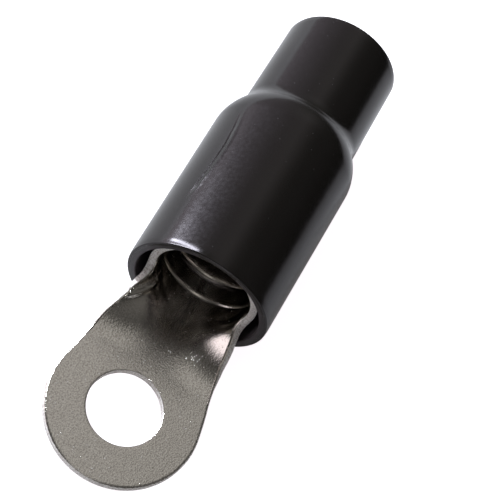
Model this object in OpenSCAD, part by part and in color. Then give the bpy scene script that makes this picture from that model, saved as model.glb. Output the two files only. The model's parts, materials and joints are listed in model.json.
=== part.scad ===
// Ring terminal for 1/0 AWG cable and an M8 stud, with its insulating boot.
// Frame: the stud hole's centre on the tongue's upper face is the origin, +Z runs up along the stud,
// and +X runs along the barrel towards the cable.

/* [Tongue] */
// Diameter of the stud hole
hole_d = 8.4; // [6.4:0.1:10.5]
// Outer diameter of the ring
ring_d = 17.4; // [15.6:0.1:20]
// Thickness of the sheet
sheet_t = 1; // [0.6:0.05:1.4]

/* [Neck] */
// Distance from the stud hole's centre to where the sheet starts to curl
curl_start = 5.4; // [4:0.1:6.5]
// Distance from the stud hole's centre to where the tapered sides become parallel
taper_end = 9.5; // [7.5:0.1:11]
// Width of the blank at its narrowest, before the barrel
neck_w = 14; // [12:0.1:15]
// Radius of the blank's corner between the neck and the barrel's front edge
corner_r = 1.6; // [0.8:0.1:2.5]

/* [Barrel] */
// Inner diameter of the barrel
barrel_id = 11.2; // [10:0.1:11.8]
// Distance from the stud hole's centre to the barrel's front edge
barrel_front = 14.3; // [12.5:0.1:16]
// Length of the barrel
barrel_len = 20; // [14:0.5:22]
// Gap left between the sheet's two edges along the barrel's seam
seam_gap = 0.2; // [0.1:0.05:0.6]
// Number of crimp grooves in the bore
groove_n = 4; // [1:1:4]
// Distance from the barrel's front edge to the middle of the first groove
groove_first = 1.8; // [1.2:0.1:2.2]
// Distance from one groove to the next
groove_pitch = 2.85; // [1.5:0.05:3.2]
// Width of a groove
groove_w = 0.5; // [0.3:0.05:0.9]
// Depth of a groove
groove_depth = 0.25; // [0.1:0.05:0.35]

/* [Boot] */
// Distance from the stud hole's centre to the boot's mouth
boot_front = 12.8; // [11.5:0.1:14]
// Gap between the barrel and the boot at the mouth
mouth_gap = 1; // [0.75:0.05:1.4]
// Gap between the barrel and the boot at the shoulder
shoulder_gap = 1.3; // [0.75:0.05:1.8]
// Diameter of the hole for the cable
cable_hole_d = 12.8; // [11.5:0.1:13]
// Length from the mouth to the start of the shoulder
wide_len = 21; // [19:0.1:24]
// Length over which the shoulder narrows
shoulder_len = 4.6; // [3:0.1:6]
// Share of the shoulder's length that is its convex round, before the hollow fillet
shoulder_round = 0.8; // [0.3:0.05:0.9]
// Length of the part that grips the cable
cable_part_len = 12.9; // [8:0.1:18]
// Thickness of the moulded wall
boot_wall = 0.9; // [0.6:0.05:1]

/* [Hidden] */
$fn = 96;
barrel_ir = barrel_id / 2;
barrel_or = barrel_ir + sheet_t;
ring_r = ring_d / 2;
neck_hw = neck_w / 2;
corner_start = barrel_front - corner_r;
// The neck runs this far into the tongue and the barrel, and lies this far inside their faces.
weld = 0.4;
skin = 0.03;
eps = 0.01;
boot_axis_z = barrel_ir;

// ---- outline of the blank ----
// The straight side leaves the ring on a tangent, tapers to the neck's width and then runs parallel.
side_reach = norm([taper_end, neck_hw]);
side_turn = atan2(neck_hw, taper_end) + acos(ring_r / side_reach);
tangent_x = ring_r * cos(side_turn);
tangent_y = ring_r * sin(side_turn);

function side_w(x) = x > taper_end ? neck_hw
    : neck_hw + (tangent_y - neck_hw) * (taper_end - x) / (taper_end - tangent_x);

// Half-width of the blank along the part, with the quarter-round corner before the barrel.
function blank_w(x) = x <= corner_start ? side_w(x)
    : neck_hw + corner_r - sqrt(max(0, corner_r * corner_r - pow(min(x, barrel_front) - corner_start, 2)));

// ---- neck: the flat sheet curls evenly into the barrel's circle ----
function ease(t) = t * t * (3 - 2 * t);
function curl(x) = ease(min(1, max(0, (x - curl_start) / (barrel_front - curl_start)))) / barrel_ir;

// A point of the curled sheet: s is the width along the upper face and d the depth below it.
function sheet_point(x, s, d) = let (k = max(curl(x), 1e-6), a = s * k * 180 / PI)
    [x, (1 / k + d) * sin(a), 1 / k - (1 / k + d) * cos(a)];

module neck() {
    across = 20;
    slow_steps = 7;
    turn_steps = 6;
    stations = concat(
        [curl_start - weld],
        [for (i = [0 : slow_steps - 1]) curl_start + (taper_end - curl_start) * i / slow_steps],
        [for (i = [0 : slow_steps - 1]) taper_end + (corner_start - taper_end) * i / slow_steps],
        [for (i = [0 : turn_steps]) corner_start + corner_r * sin(90 * i / turn_steps)],
        [barrel_front + weld]);
    last = len(stations) - 1;
    ring_n = 2 * (across + 1);
    points = [for (x = stations) let (w = blank_w(x) - skin) each concat(
        [for (j = [0 : across]) sheet_point(x, w * (2 * j / across - 1), skin)],
        [for (j = [across : -1 : 0]) sheet_point(x, w * (2 * j / across - 1), sheet_t - skin)])];
    faces = concat(
        [for (j = [0 : across - 1]) [j + 1, j, ring_n - 1 - j, ring_n - 2 - j]],
        [for (j = [0 : across - 1]) [for (k = [j, j + 1, ring_n - 2 - j, ring_n - 1 - j]) last * ring_n + k]],
        [for (i = [0 : last - 1], j = [0 : ring_n - 1]) let (n = (j + 1) % ring_n)
            each [[i * ring_n + j, (i + 1) * ring_n + n, (i + 1) * ring_n + j],
                  [i * ring_n + j, i * ring_n + n, (i + 1) * ring_n + n]]]);
    polyhedron(points, faces, convexity = 6);
}

// ---- tongue: the flat ring up to where the curl starts ----
module tongue_outline() {
    w = side_w(curl_start);
    circle(ring_r);
    polygon([[curl_start, w], [tangent_x, tangent_y], [0, 0], [tangent_x, -tangent_y], [curl_start, -w]]);
}

module tongue() {
    difference() {
        translate([0, 0, -sheet_t]) linear_extrude(sheet_t) tongue_outline();
        translate([0, 0, -sheet_t - eps]) cylinder(d = hole_d, h = sheet_t + 2 * eps);
        translate([curl_start, -ring_r, -2 * sheet_t]) cube([ring_r, 2 * ring_r, 3 * sheet_t]);
    }
}

// ---- barrel: the rolled sheet with its seam on top and crimp grooves in the bore ----
module along_barrel(from) {
    translate([from, 0, boot_axis_z]) rotate([0, 90, 0]) children();
}

module bore_and_grooves() {
    along_barrel(barrel_front - eps) cylinder(r = barrel_ir, h = barrel_len + 2 * eps);
    for (i = [0 : groove_n - 1])
        along_barrel(barrel_front + groove_first + groove_pitch * i - groove_w / 2)
            rotate_extrude() polygon([
                [0, 0],
                [barrel_ir - eps, 0],
                [barrel_ir + groove_depth, groove_w * 0.3],
                [barrel_ir + groove_depth, groove_w * 0.7],
                [barrel_ir - eps, groove_w],
                [0, groove_w]]);
}

module barrel() {
    difference() {
        along_barrel(barrel_front) cylinder(r = barrel_or, h = barrel_len);
        bore_and_grooves();
        translate([barrel_front - weld, -seam_gap / 2, boot_axis_z + barrel_ir / 2])
            cube([barrel_len + 2 * weld, seam_gap, barrel_or]);
    }
}

module terminal() {
    color("silver") union() {
        tongue();
        neck();
        barrel();
    }
}

// ---- boot: one moulded sleeve, wide over the barrel and narrow round the cable ----
mouth_r = barrel_or + mouth_gap;
shoulder_r = barrel_or + shoulder_gap;
cable_r = cable_hole_d / 2;
boot_len = wide_len + shoulder_len + cable_part_len;

// The shoulder falls from 0 to 1: a long convex round, then a short hollow fillet.
function shoulder_fall(t) = t < shoulder_round ? t * t / shoulder_round
    : 1 - (1 - t) * (1 - t) / (1 - shoulder_round);

// One side of the wall from the mouth to the plain cut end.
function boot_side(out) = concat(
    [[mouth_r + out, 0]],
    [for (i = [0 : 16]) let (t = i / 16)
        [shoulder_r - (shoulder_r - cable_r) * shoulder_fall(t) + out, wide_len + shoulder_len * t]],
    [[cable_r + out, boot_len]]);

module boot() {
    inside = boot_side(0);
    color([0.06, 0.06, 0.065]) along_barrel(boot_front) rotate_extrude() polygon(concat(
        boot_side(boot_wall),
        [for (i = [len(inside) - 1 : -1 : 0]) inside[i]]));
}

terminal();
boot();
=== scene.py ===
"""Ring terminal with its insulating boot: a plated sheet lug, curled and rolled, in a glossy black sleeve."""
import json
import math

import bmesh
import bpy
from mathutils import Matrix, Vector, noise


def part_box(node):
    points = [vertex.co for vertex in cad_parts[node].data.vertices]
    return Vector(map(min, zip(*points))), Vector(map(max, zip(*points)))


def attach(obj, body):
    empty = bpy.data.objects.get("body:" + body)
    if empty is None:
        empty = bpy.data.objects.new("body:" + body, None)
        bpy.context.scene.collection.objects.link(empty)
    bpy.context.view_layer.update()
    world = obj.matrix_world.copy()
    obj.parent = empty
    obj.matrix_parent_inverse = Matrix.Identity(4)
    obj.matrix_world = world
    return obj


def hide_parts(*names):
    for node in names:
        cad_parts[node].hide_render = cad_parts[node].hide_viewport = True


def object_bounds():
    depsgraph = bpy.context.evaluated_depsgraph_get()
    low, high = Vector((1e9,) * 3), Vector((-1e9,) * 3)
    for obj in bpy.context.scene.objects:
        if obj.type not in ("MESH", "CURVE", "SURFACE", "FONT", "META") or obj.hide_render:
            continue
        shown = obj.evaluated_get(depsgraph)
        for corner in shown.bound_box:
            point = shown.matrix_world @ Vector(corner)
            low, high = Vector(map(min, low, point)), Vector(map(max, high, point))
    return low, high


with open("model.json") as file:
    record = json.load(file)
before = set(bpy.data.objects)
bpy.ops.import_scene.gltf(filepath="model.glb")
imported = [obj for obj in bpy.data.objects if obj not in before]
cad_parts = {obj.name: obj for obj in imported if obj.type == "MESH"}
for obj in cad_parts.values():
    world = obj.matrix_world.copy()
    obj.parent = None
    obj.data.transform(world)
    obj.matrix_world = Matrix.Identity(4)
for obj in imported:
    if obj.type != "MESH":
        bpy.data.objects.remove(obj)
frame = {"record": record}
cad_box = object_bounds()

# ---- sizes in millimetres, read from the frame ----
MM = 0.001
mounts = {m["name"]: m for m in frame["record"]["mounts"]}
lug_low, lug_high = [[c / MM for c in corner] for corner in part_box("terminal")]
boot_low, boot_high = [[c / MM for c in corner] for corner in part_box("boot")]

HOLE_R = mounts["stud_hole"]["dims"]["r_mm"]
BARREL_R = mounts["barrel_bore"]["dims"]["r_mm"]
CABLE_R = mounts["cable_entry"]["dims"]["r_mm"]
CABLE_LEN = mounts["cable_entry"]["dims"]["length_mm"]
AXIS_Z = mounts["barrel_bore"]["pos_m"][2] / MM
RING_R = -lug_low[0]
SHEET_T = -lug_low[2]
BARREL_END = lug_high[0]
BOOT_FRONT, BOOT_END = boot_low[0], boot_high[0]
SHOULDER_R = boot_high[1]

# ---- the lug's own sizes, as in the part's source: x along it, s across the blank ----
CURL_START = 5.4
BARREL_FRONT = 14.3
TAPER_END = 9.5
NECK_HALF = 7.0
CORNER_R = 1.6
SEAM_GAP = 0.2
FIRST_GROOVE, GROOVE_PITCH, GROOVE_COUNT = 1.8, 2.85, 4
GROOVES = [BARREL_FRONT + FIRST_GROOVE + GROOVE_PITCH * i for i in range(GROOVE_COUNT)]

# ---- what pressing left on the lug: fine grooves, rolled edges, a lean to +Y and straighter flank edges ----
GROOVE_W, GROOVE_DEPTH = 0.16, 0.1
TOP_ROLL, HOLE_ROLL, LOWER_ROLL = 0.3, 0.12, 0.1
SHARP = 1.2
NECK_LEAN, LEAN_X, LEAN_LONG = 0.2, 8.0, 5.0
FLANK_START, FLANK_END = 4.4, 9.0
FLANK_EASE, FLANK_X, FLANK_LONG = 0.6, 12.0, 2.4

# The fold along the +Y flank: its ridge line, its height and peak, the hollow beside it, and both ends.
FOLD_X, FOLD_S, FOLD_CURVE = 13.8, 5.2, 0.112
FOLD_RISE, FOLD_WIDE = 0.12, 0.55
PEAK_X, PEAK_RISE, PEAK_LONG = 13.3, 0.2, 1.3
HOLLOW_OFF, HOLLOW_DEPTH, HOLLOW_WIDE = 0.85, 0.1, 0.6
FOLD_FROM, FOLD_GROW, FOLD_TO, FOLD_FADE = 9.3, 1.5, 14.7, 0.8

# The sheared edges: how deep they are torn on the flat ring and on the curled flanks, and how finely.
TORN_FLAT, TORN_CURLED = 0.01, 0.07
TORN_FROM, TORN_GROW, TORN_LOST = 8.5, 3.0, 0.8
TORN_ACROSS = Vector((2.6, 0.5, 3.1))
TORN_THROUGH, TORN_SHIFT = Vector((2.1, 0.4, 2.3)), Vector((40, 0, 0))
CLEAN_RIM = 0.5

# ---- steps of the lug's mesh ----
ACROSS, EXTRA = 80, 22
TAPER_STEPS, FLANK_STEPS, BARREL_STEPS = 20, 22, 26
RING_STEPS, SIDE_STEPS, LOOPS = 110, 6, 12

# ---- the boot's own sizes ----
WALL = 0.9
MOUTH_R = 8.5
WIDE_LEN, SHOULDER_LEN, SHOULDER_ROUND = 21.0, 5.2, 0.62
LIP_LEN, LIP_R, LIP_CORNER, INNER_LIP = 0.9, 5.0, 0.15, 0.15
TOP_WALL, SIDE_WALL, THICK_LEN = 0.85, 1.1, 5.0
CUT_ROUND, CUT_BEVEL, CUT_INNER = 0.15, 0.04, 0.1
CREASE_MIDDLE, CREASE_ANGLE, CREASE_BOW = 26.5, 0.805, 1700.0

# ---- steps of the boot's mesh ----
BOOT_TURNS = 160
WIDE_STEPS, SHOULDER_STEPS, NARROW_STEPS, LIP_STEPS = 26, 33, 16, 8


def ease(t):
    t = min(1.0, max(0.0, t))
    return t * t * (3 - 2 * t)


def bump(t):
    """A smooth hill from 0 at -1 to 1 at 0 and back to 0 at 1."""
    return ease(1 - abs(t))


# ---- the lug: a flat blank with rounded edges, bent into its final form ----
CORNER_START = BARREL_FRONT - CORNER_R
reach = math.hypot(TAPER_END, NECK_HALF)
turn = math.atan2(NECK_HALF, TAPER_END) + math.acos(RING_R / reach)
TANGENT = Vector((RING_R * math.cos(turn), RING_R * math.sin(turn)))


def blank_half_width(x):
    if x <= CORNER_START:
        share = max(0.0, (TAPER_END - x) / (TAPER_END - TANGENT[0]))
        return NECK_HALF + (TANGENT[1] - NECK_HALF) * share
    return NECK_HALF + CORNER_R - math.sqrt(max(0.0, CORNER_R ** 2 - (x - CORNER_START) ** 2))


def bend(x, s, depth):
    """Takes a point of the flat blank, at a depth below its upper face, to its place on the lug."""
    k = max(ease((x - CURL_START) / (BARREL_FRONT - CURL_START)) / BARREL_R, 1e-5)
    s += NECK_LEAN * bump((x - LEAN_X) / LEAN_LONG)
    # The press can't curl the flank's last millimetres fully, so from FLANK_START they run straighter.
    past = max(0.0, abs(s) - FLANK_START)
    straight = FLANK_EASE * bump((x - FLANK_X) / FLANK_LONG) if abs(s) < FLANK_END else 0.0
    lost = straight * past
    angle = math.copysign(abs(s) - lost, s) * k
    y = (1 / k + depth) * math.sin(angle) + math.copysign(lost * math.cos(angle), s)
    z = 1 / k - (1 / k + depth) * math.cos(angle) + lost * math.sin(abs(angle))
    return Vector((x, y, z))


def wrinkle(x, s):
    """Height of the fold that the press left along the +Y flank."""
    past = s - FOLD_S - FOLD_CURVE * max(0.0, FOLD_X - x) ** 2
    rise = FOLD_RISE + PEAK_RISE * bump((x - PEAK_X) / PEAK_LONG)
    ridge = rise * bump(past / FOLD_WIDE)
    hollow = HOLLOW_DEPTH * bump((past - HOLLOW_OFF) / HOLLOW_WIDE)
    return (ridge - hollow) * ease((x - FOLD_FROM) / FOLD_GROW) * ease((FOLD_TO - x) / FOLD_FADE)


def tear(x):
    """How deep the sheared edge is torn: most where the flanks are curled."""
    curled = ease((x - TORN_FROM) / TORN_GROW) * (1 - TORN_LOST * ease(x - BARREL_FRONT))
    return TORN_FLAT + (TORN_CURLED - TORN_FLAT) * curled


def spread(low, high, count):
    return [low + (high - low) * i / count for i in range(count + 1)]


def neck_rows():
    """Rows of points across the blank, from where it starts to curl to the barrel's front."""
    xs = spread(CURL_START, TAPER_END, TAPER_STEPS)[:-1] + spread(TAPER_END, CORNER_START, FLANK_STEPS)[:-1]
    xs += [CORNER_START + CORNER_R * math.sin(math.radians(a)) for a in range(0, 91, 6)]
    return [[(x, s) for s in spread(-blank_half_width(x), blank_half_width(x), ACROSS)] for x in xs]


def barrel_rows():
    """Rows of points from seam to seam, with closer ones at each groove."""
    edge = blank_half_width(BARREL_FRONT)
    seam = math.pi * BARREL_R - SEAM_GAP / 2
    ss = spread(-seam, -edge, EXTRA)[:-1] + spread(-edge, edge, ACROSS) + spread(edge, seam, EXTRA)[1:]
    xs = spread(BARREL_FRONT, BARREL_END, BARREL_STEPS)
    for g in GROOVES:
        xs = [x for x in xs if abs(x - g) > GROOVE_W * 0.7]
        xs += [g - GROOVE_W / 2, g - GROOVE_W / 5, g + GROOVE_W / 5, g + GROOVE_W / 2]
    return [[(x, s) for s in ss] for x in sorted(xs)]


def ring_loops(first_row):
    """Loops of points from the hole's edge to the ring's outline, closed by the neck's first row."""
    corner = Vector((CURL_START, blank_half_width(CURL_START)))
    side = [tuple(corner.lerp(TANGENT, t)) for t in spread(0, 1, SIDE_STEPS)[1:-1]]
    sweep = math.atan2(TANGENT[1], TANGENT[0])
    turns = spread(sweep, 2 * math.pi - sweep, RING_STEPS)
    outer = list(first_row) + side
    outer += [(RING_R * math.cos(a), RING_R * math.sin(a)) for a in turns]
    outer += [(x, -y) for x, y in reversed(side)]
    loops = []
    for t in spread(0, 1, LOOPS)[:-1]:
        loop = []
        for x, y in outer:
            r = math.hypot(x, y)
            share = (HOLE_R + (r - HOLE_R) * t) / r
            loop.append((x * share, y * share))
        loops.append(loop)
    return loops + [outer]


def groove_depth(x):
    for g in GROOVES:
        if abs(x - g) < GROOVE_W * 0.3:
            return GROOVE_DEPTH
    return 0.0


def flat_blank():
    """The blank as a solid in the flat: x and s in the plane and z from 0 down to the sheet's thickness."""
    neck = neck_rows()
    loops = ring_loops(neck[0])
    bm = bmesh.new()
    known = {}

    def vert(point, lower):
        key = (round(point[0], 5), round(point[1], 5), lower)
        if key not in known:
            z = -SHEET_T if lower else -groove_depth(point[0]) if point[0] > BARREL_FRONT else 0.0
            known[key] = bm.verts.new((point[0], point[1], z))
        return known[key]

    quads = []
    for rows in (neck, barrel_rows()):
        for a, b in zip(rows, rows[1:]):
            quads += [(a[j], b[j], b[j + 1], a[j + 1]) for j in range(len(a) - 1)]
    for a, b in zip(loops, loops[1:]):
        n = len(a)
        quads += [(a[j], b[j], b[(j + 1) % n], a[(j + 1) % n]) for j in range(n)]
    for quad in quads:
        bm.faces.new([vert(p, False) for p in quad])
        bm.faces.new([vert(p, True) for p in reversed(quad)])
    point_of = {v: key for key, v in known.items()}
    upper_rim = [e for e in bm.edges if len(e.link_faces) == 1 and not point_of[e.verts[0]][2]]
    for e in upper_rim:
        start, end = e.verts
        below = [known[(*point_of[v][:2], True)] for v in (end, start)]
        bm.faces.new([start, end, *below])
    bmesh.ops.recalc_face_normals(bm, faces=bm.faces)
    return bm


def is_hole_edge(edge):
    return all(math.hypot(v.co.x, v.co.y) < HOLE_R + 0.01 for v in edge.verts)


def round_edges(bm):
    """The blanking punch rolls the upper outline over and leaves the lower one almost sharp."""
    def rim(lower):
        found = []
        for e in bm.edges:
            if len(e.link_faces) == 2 and e.calc_face_angle(0) > SHARP:
                if (e.verts[0].co.z + e.verts[1].co.z < -SHEET_T) == lower:
                    found.append(e)
        return found

    upper = rim(False)
    hole = [e for e in upper if is_hole_edge(e)]
    outline = [e for e in upper if not is_hole_edge(e)]
    bmesh.ops.bevel(bm, geom=outline, offset=TOP_ROLL, segments=4, profile=0.5, affect="EDGES")
    bmesh.ops.bevel(bm, geom=hole, offset=HOLE_ROLL, segments=3, profile=0.5, affect="EDGES")
    bmesh.ops.bevel(bm, geom=rim(True), offset=LOWER_ROLL, segments=2, profile=0.5, affect="EDGES")


def mesh_object(name, bm):
    bmesh.ops.recalc_face_normals(bm, faces=bm.faces)
    mesh = bpy.data.meshes.new(name)
    bm.to_mesh(mesh)
    bm.free()
    mesh.polygons.foreach_set("use_smooth", [True] * len(mesh.polygons))
    obj = bpy.data.objects.new(name, mesh)
    bpy.context.scene.collection.objects.link(obj)
    return obj


def make_lug():
    bm = flat_blank()
    round_edges(bm)
    bm.normal_update()
    sheared = bm.verts.layers.float_color.new("sheared")
    places = {}
    for v in bm.verts:
        x, s, depth = v.co.x, v.co.y, -v.co.z
        in_bore = x > BARREL_FRONT + 0.3 and abs(s) < math.pi * BARREL_R - 1
        on_wall = not in_bore and any(abs(f.normal.z) < 0.5 for f in v.link_faces)
        v[sheared] = (1, 1, 1, 1) if on_wall else (0, 0, 0, 1)
        if on_wall and math.hypot(x, s) > HOLE_R + CLEAN_RIM:
            torn = tear(x) * (noise.noise(Vector((x, s, depth)) * TORN_ACROSS) - 0.5)
            s += math.copysign(torn, s)
            depth += 0.5 * tear(x) * noise.noise(Vector((x, s, depth)) * TORN_THROUGH + TORN_SHIFT)
        places[v] = bend(x, s, depth - wrinkle(x, s))
    for v, place in places.items():
        v.co = place * MM
    return mesh_object("lug_sheet", bm)


# ---- the boot ----
def shoulder_fall(t):
    """From 0 to 1 along the shoulder: a long convex round, then a short hollow fillet."""
    t = min(1.0, max(0.0, t))
    if t < SHOULDER_ROUND:
        return t * t / SHOULDER_ROUND
    return 1 - (1 - t) ** 2 / (1 - SHOULDER_ROUND)


def boot_outside(x):
    """Outer radius of the boot at a distance from its mouth, where it closes in a little."""
    wide = MOUTH_R + (SHOULDER_R - MOUTH_R) * min(1, x / WIDE_LEN)
    lip = max(0.0, LIP_LEN - x) ** 2 / (2 * LIP_R)
    return wide - lip - (SHOULDER_R - CABLE_R - WALL) * shoulder_fall((x - WIDE_LEN) / SHOULDER_LEN)


def boot_wall(x, turn):
    """The moulded wall is thicker at the mouth's bead, most at the two sides."""
    bead = TOP_WALL + (SIDE_WALL - TOP_WALL) * math.sin(turn) ** 2
    return WALL + (bead - WALL) * ease(1 - x / THICK_LEN)


def boot_profile(turn):
    """Pairs (distance from the mouth, radius) all round the wall, at a turn from the top."""
    length = BOOT_END - BOOT_FRONT
    shoulder_from, shoulder_to = WIDE_LEN - 1, WIDE_LEN + SHOULDER_LEN + 1
    along = spread(LIP_LEN, shoulder_from, WIDE_STEPS)
    along += spread(shoulder_from, shoulder_to, SHOULDER_STEPS)[1:]
    along += spread(shoulder_to, length - CUT_ROUND, NARROW_STEPS)[1:]
    outside = [(x, boot_outside(x)) for x in along]
    cut_r = boot_outside(length)
    cut = [(length - CUT_BEVEL, cut_r - CUT_BEVEL), (length, cut_r - CUT_ROUND)]
    cut += [(length, cut_r - WALL / 2), (length, cut_r - WALL + CUT_INNER)]
    inside = [(x, boot_outside(x) - boot_wall(x, turn)) for x in reversed(along)]
    inside += [(x, boot_outside(LIP_LEN) - boot_wall(x, turn)) for x in (LIP_LEN / 2, INNER_LIP)]
    lip = [(x, boot_outside(x)) for x in spread(LIP_CORNER, LIP_LEN, LIP_STEPS)[:-1]]
    quarter = [(math.sin(math.radians(a)), math.cos(math.radians(a))) for a in range(8, 90, 8)]
    back = inside[-1][1] + INNER_LIP
    mouth = [(INNER_LIP * (1 - sin), back - INNER_LIP * cos) for sin, cos in quarter] + [(0, back)]
    face = lip[0][1] - LIP_CORNER
    mouth += [(0, face)] + [(LIP_CORNER * (1 - cos), face + LIP_CORNER * sin) for sin, cos in quarter]
    return outside + cut + inside + mouth + lip


def make_boot():
    bm = bmesh.new()
    inner = bm.verts.layers.float_color.new("inner")
    slices = []
    for i in range(BOOT_TURNS):
        a = 2 * math.pi * i / BOOT_TURNS
        line = []
        for x, r in boot_profile(a):
            place = Vector((BOOT_FRONT + x, r * math.sin(a), AXIS_Z + r * math.cos(a)))
            v = bm.verts.new(place * MM)
            # Marks the inner wall, which the vinyl paints lighter than the skin as painted light.
            v[inner] = (1, 1, 1, 1) if r < boot_outside(x) - WALL * 0.7 else (0, 0, 0, 1)
            line.append(v)
        slices.append(line)
    for i, line in enumerate(slices):
        after = slices[(i + 1) % BOOT_TURNS]
        for k in range(len(line)):
            j = (k + 1) % len(line)
            bm.faces.new([line[k], after[k], after[j], line[j]])
    return mesh_object("boot_sleeve", bm)


# ---- materials ----
class Nodes:
    """A material's node tree, with short calls to add and join nodes."""

    def __init__(self, name):
        self.material = bpy.data.materials.new(name)
        self.material.use_nodes = True
        self.tree = self.material.node_tree
        self.shader = self.tree.nodes["Principled BSDF"]
        self.place = self.add("ShaderNodeTexCoord").outputs["Object"]

    def add(self, kind, **inputs):
        node = self.tree.nodes.new(kind)
        for key, value in inputs.items():
            node.inputs[key.replace("_", " ")].default_value = value
        return node

    def join(self, a, b):
        self.tree.links.new(a, b)

    def noise(self, scale, detail, rough):
        node = self.add("ShaderNodeTexNoise", Scale=scale, Detail=detail, Roughness=rough)
        self.join(self.place, node.inputs["Vector"])
        return node.outputs["Fac"]

    def along(self, axis):
        node = self.add("ShaderNodeSeparateXYZ")
        self.join(self.place, node.inputs[0])
        return node.outputs[axis]

    def attribute(self, name):
        node = self.add("ShaderNodeAttribute")
        node.attribute_name = name
        return node.outputs["Fac"]

    def cells(self, scale):
        node = self.add("ShaderNodeTexVoronoi", Scale=scale)
        self.join(self.place, node.inputs["Vector"])
        return node.outputs["Distance"]

    def ramp(self, source, low, high, to_low=0.0, to_high=1.0):
        node = self.add("ShaderNodeMapRange")
        node.inputs["From Min"].default_value = low
        node.inputs["From Max"].default_value = high
        node.inputs["To Min"].default_value = to_low
        node.inputs["To Max"].default_value = to_high
        self.join(source, node.inputs["Value"])
        return node.outputs["Result"]

    def blend(self, share, a, b):
        node = self.add("ShaderNodeMix")
        node.data_type = "RGBA"
        self.join(share, node.inputs[0])
        for value, socket in ((a, node.inputs[6]), (b, node.inputs[7])):
            if isinstance(value, tuple):
                socket.default_value = (*value, 1)
            else:
                self.join(value, socket)
        return node.outputs[2]

    def calc(self, operation, a, b):
        node = self.add("ShaderNodeMath")
        node.operation = operation
        for value, socket in ((a, node.inputs[0]), (b, node.inputs[1])):
            if isinstance(value, (int, float)):
                socket.default_value = value
            else:
                self.join(value, socket)
        return node.outputs[0]

    def relief(self, height, strength, distance, under=None):
        node = self.add("ShaderNodeBump", Strength=strength, Distance=distance)
        self.join(height, node.inputs["Height"])
        if under is not None:
            self.join(under, node.inputs["Normal"])
        return node.outputs["Normal"]


def plated_metal():
    """Plating with a fine grain and a few specks: painted shade as a darker base colour from the middle of
    the neck on through the bowl and barrel, and rough sheared edges whose pale bare metal is lightened to
    near white as a painted highlight.
    """
    m = Nodes("plated_metal")
    grain = m.noise(5600, 2, 0.6)
    flat = m.ramp(m.along("X"), 0.011, 0.0075)
    coarse = m.noise(2400, 3, 0.55)
    cloud = m.noise(420, 3, 0.5)
    chance = m.ramp(m.noise(1500, 2, 0.5), 0.5, 0.6)
    specks = m.calc("MULTIPLY", m.ramp(m.cells(3000), 0.2, 0.1), chance)
    torn = m.attribute("sheared")
    dull = m.calc("MAXIMUM", torn, m.calc("MULTIPLY", specks, 0.5))
    plate = m.blend(cloud, (0.72, 0.685, 0.63), (0.82, 0.79, 0.735))
    # Painted shade: flat falls from 1 at 7.5 mm to 0 at 11 mm along the lug, so the neck's bowl and the
    # barrel take a darker base colour.
    plate = m.blend(flat, (0.55, 0.515, 0.47), plate)
    plate = m.blend(m.ramp(grain, 0.3, 0.6), (0.5, 0.465, 0.42), plate)
    # The sheared edges' pale bare metal, lightened to near white as a painted highlight; the specks take half
    # of this colour through dull.
    bare_and_highlight = m.blend(m.ramp(grain, 0.38, 0.56), (0.6, 0.52, 0.49), (1.0, 0.96, 0.93))
    m.join(m.blend(dull, plate, bare_and_highlight), m.shader.inputs["Base Color"])
    m.join(m.ramp(dull, 0.0, 1.0, 1.0, 0.12), m.shader.inputs["Metallic"])
    rough = m.ramp(cloud, 0.3, 0.7, 0.09, 0.13)
    m.join(m.calc("ADD", rough, m.calc("MULTIPLY", dull, 0.35)), m.shader.inputs["Roughness"])
    normal = m.relief(m.calc("MULTIPLY", grain, m.ramp(flat, 0.0, 1.0, 0.5, 1.0)), 0.8, 0.00004)
    normal = m.relief(coarse, 0.4, 0.00002, normal)
    normal = m.relief(specks, 0.4, 0.00003, normal)
    rugged = m.relief(coarse, 1.0, 0.00016, normal)
    pick = m.add("ShaderNodeMix")
    pick.data_type = "VECTOR"
    m.join(torn, pick.inputs[0])
    m.join(normal, pick.inputs[4])
    m.join(rugged, pick.inputs[5])
    m.join(pick.outputs[1], m.shader.inputs["Normal"])
    return m.material


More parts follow.
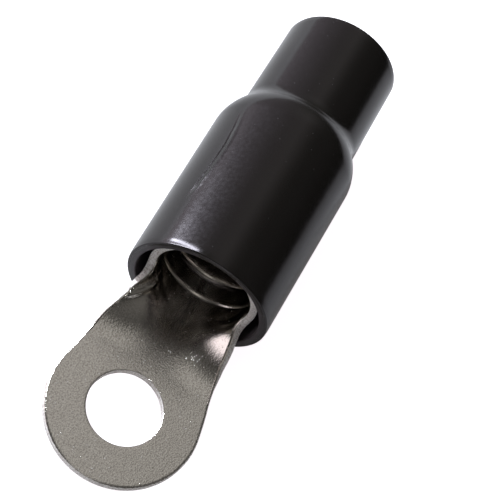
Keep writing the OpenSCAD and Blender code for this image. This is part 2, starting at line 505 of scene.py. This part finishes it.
def black_vinyl():
    """Glossy soft vinyl, with a fold line along the boot's +Y side and a few dust specks."""
    m = Nodes("black_vinyl")
    wave = m.noise(140, 2, 0.4)
    fine = m.noise(2500, 3, 0.5)
    inner = m.attribute("inner")
    # The fold line: a narrow valley and a ridge beside it, both along a bowed line on the round side.
    x = m.along("X")
    angle = m.calc("ARCTAN2", m.along("Y"), m.calc("SUBTRACT", m.along("Z"), AXIS_Z * MM))
    middle = m.calc("SUBTRACT", x, CREASE_MIDDLE * MM)
    line = m.calc("ADD", m.calc("MULTIPLY", m.calc("MULTIPLY", middle, middle), CREASE_BOW), CREASE_ANGLE)
    wander = m.ramp(m.noise(260, 3, 0.6), 0.3, 0.7, -0.012, 0.012)
    off = m.calc("SUBTRACT", m.calc("ADD", angle, wander), line)
    ends = m.calc("MULTIPLY", m.ramp(x, 0.019, 0.0225), m.ramp(x, 0.034, 0.0275))
    valley = m.calc("MULTIPLY", m.ramp(m.calc("ABSOLUTE", off, 0), 0.028, 0.0), ends)
    beside = m.calc("ABSOLUTE", m.calc("ADD", off, 0.045), 0)
    ridge = m.calc("MULTIPLY", m.ramp(beside, 0.04, 0.0), ends)
    specks = m.ramp(m.cells(900), 0.055, 0.0)
    skin = m.blend(wave, (0.0088, 0.0078, 0.0064), (0.0115, 0.0102, 0.0087))
    skin = m.blend(specks, skin, (0.12, 0.115, 0.12))
    # Painted light: the inner wall takes a lighter base colour than the skin, standing in for light that
    # reaches the inside.
    m.join(m.blend(inner, skin, (0.05, 0.043, 0.046)), m.shader.inputs["Base Color"])
    rough = m.ramp(fine, 0.3, 0.7, 0.15, 0.21)
    m.join(m.calc("ADD", rough, m.calc("MULTIPLY", inner, 0.3)), m.shader.inputs["Roughness"])
    m.shader.inputs["Specular IOR Level"].default_value = 0.3
    m.shader.inputs["Specular Tint"].default_value = (1, 0.9, 0.98, 1)
    crease = m.calc("SUBTRACT", m.calc("MULTIPLY", ridge, 0.6), valley)
    normal = m.relief(crease, 0.8, 0.00012, m.relief(wave, 0.15, 0.0004))
    m.join(normal, m.shader.inputs["Normal"])
    return m.material


# ---- studio: levels of light by the direction they come from, where 1 is white ----
FLOOR_HALF = 1.5
GLOW = (("Is Camera Ray", 0.95), ("Is Glossy Ray", 0.15), ("Is Transmission Ray", 0.3))
OVERHEAD = ((-1.0, 0.3), (-0.8, 0.14), (-0.42, 0.08), (-0.27, 0.15), (-0.1, 0.41), (0.0, 0.56), (0.15, 0.36),
            (0.3, 0.15), (0.6, 0.07))
OVERHEAD_TINT = (1, 0.98, 0.95)
SIDE_WINDOW = ((0.62, 0.0), (0.76, 0.1), (0.86, 0.9), (0.92, 1.9), (1.0, 1.9))
SIDE_TINT = (1, 0.93, 1)
BACK_WINDOW = (0.68, 0.61, 0.71)
CAMERA_AIM, CAMERA_FAR = Vector((21.5, -2.4, 5.6)), 142.35


def make_floor():
    """A matt white floor under the boot, with a glow that only the camera, metal and glass see."""
    mesh = bpy.data.meshes.new("floor")
    signs = ((-1, -1), (1, -1), (1, 1), (-1, 1))
    corners = [(FLOOR_HALF * x, FLOOR_HALF * y, cad_box[0][2]) for x, y in signs]
    mesh.from_pydata(corners, [], [(0, 1, 2, 3)])
    floor = bpy.data.objects.new("floor", mesh)
    bpy.context.scene.collection.objects.link(floor)
    material = bpy.data.materials.new("white_floor")
    material.use_nodes = True
    tree = material.node_tree
    tree.nodes.clear()
    out = tree.nodes.new("ShaderNodeOutputMaterial")
    total = tree.nodes.new("ShaderNodeAddShader")
    matt = tree.nodes.new("ShaderNodeBsdfDiffuse")
    matt.inputs["Color"].default_value = (0.8, 0.8, 0.8, 1)
    glow = tree.nodes.new("ShaderNodeEmission")
    glow.inputs["Color"].default_value = (0.98, 0.93, 0.97, 1)
    path = tree.nodes.new("ShaderNodeLightPath")
    strength = None
    for ray, lift in GLOW:
        step = tree.nodes.new("ShaderNodeMath")
        step.operation = "MULTIPLY_ADD"
        step.inputs[1].default_value = lift
        step.inputs[2].default_value = 0
        tree.links.new(path.outputs[ray], step.inputs[0])
        if strength is not None:
            tree.links.new(strength, step.inputs[2])
        strength = step.outputs[0]
    tree.links.new(strength, glow.inputs["Strength"])
    tree.links.new(matt.outputs[0], total.inputs[0])
    tree.links.new(glow.outputs[0], total.inputs[1])
    tree.links.new(total.outputs[0], out.inputs["Surface"])
    mesh.materials.append(material)


def make_world():
    """A dim studio: a strip of light overhead, a low window along the +Y side, and one behind the boot."""
    world = bpy.data.worlds.new("studio")
    bpy.context.scene.world = world
    world.use_nodes = True
    tree = world.node_tree
    place = tree.nodes.new("ShaderNodeTexCoord")
    split = tree.nodes.new("ShaderNodeSeparateXYZ")
    tree.links.new(place.outputs["Generated"], split.inputs[0])

    def remap(axis, low, high, to_low, to_high):
        node = tree.nodes.new("ShaderNodeMapRange")
        for key, value in zip(("From Min", "From Max", "To Min", "To Max"), (low, high, to_low, to_high)):
            node.inputs[key].default_value = value
        tree.links.new(split.outputs[axis], node.inputs["Value"])
        return node.outputs["Result"]

    def by_y(stops, tint):
        node = tree.nodes.new("ShaderNodeValToRGB")
        tree.links.new(remap("Y", -1, 1, 0, 1), node.inputs["Fac"])
        found = node.color_ramp.elements
        for spare in range(len(stops) - 2):
            found.new(0.5)
        for stop, (y, level) in zip(found, stops):
            stop.position = (y + 1) / 2
            stop.color = (*[level * c for c in tint], 1)
        return node.outputs["Color"]

    def mix(operation, a, b):
        node = tree.nodes.new("ShaderNodeVectorMath")
        node.operation = operation
        tree.links.new(a, node.inputs[0])
        if isinstance(b, tuple):
            node.inputs[1].default_value = b
        else:
            tree.links.new(b, node.inputs[1])
        return node.outputs[0]

    overhead = mix("MULTIPLY", by_y(OVERHEAD, OVERHEAD_TINT), remap("Z", 0.15, 0.6, 0.2, 1.0))
    # Only the boot's side reflects the window behind it.
    behind = mix("MULTIPLY", remap("Y", 0.05, 0.8, 0.0, 1.0), remap("X", 0.3, 0.52, 0.0, 1.0))
    total = mix("ADD", overhead, by_y(SIDE_WINDOW, SIDE_TINT))
    total = mix("ADD", total, mix("MULTIPLY", behind, BACK_WINDOW))
    tree.links.new(total, tree.nodes["Background"].inputs["Color"])


def area_light(name, place, aim, size, power, colour):
    lamp = bpy.data.lights.new(name, "AREA")
    lamp.shape = "RECTANGLE"
    lamp.size, lamp.size_y = size
    lamp.energy = power
    lamp.color = colour
    obj = bpy.data.objects.new(name, lamp)
    obj.location = place
    obj.rotation_euler = (Vector(aim) - Vector(place)).to_track_quat("-Z", "Y").to_euler()
    bpy.context.scene.collection.objects.link(obj)


def make_camera():
    """Looks along the barrel from over the ring, turned so that the barrel climbs to the upper right."""
    heading, drop, roll = [math.radians(a) for a in (-6.48, 58.04, 38.5)]
    level = Vector((math.cos(heading), math.sin(heading), 0))
    forward = level * math.cos(drop) - Vector((0, 0, math.sin(drop)))
    camera = bpy.data.cameras.new("camera")
    camera.lens = 92.23
    camera.sensor_width = 36
    camera.clip_start = 0.005
    obj = bpy.data.objects.new("camera", camera)
    place = Matrix.Translation((CAMERA_AIM - forward * CAMERA_FAR) * MM)
    facing = forward.to_track_quat("-Z", "Y").to_matrix().to_4x4()
    obj.matrix_world = place @ facing @ Matrix.Rotation(roll, 4, "Z")
    bpy.context.scene.collection.objects.link(obj)
    bpy.context.scene.camera = obj


lug = make_lug()
lug.data.materials.append(plated_metal())
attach(lug, "lug")
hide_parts("terminal")

boot = make_boot()
boot.data.materials.append(black_vinyl())
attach(boot, "sleeve")
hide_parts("boot")

make_floor()
make_world()
area_light("key", (0.185, 0.38, 0.27), (0.015, 0, 0.01), (0.055, 0.4), 3.6, (0.86, 0.93, 1))
make_camera()

bpy.context.scene.view_settings.view_transform = "Standard"
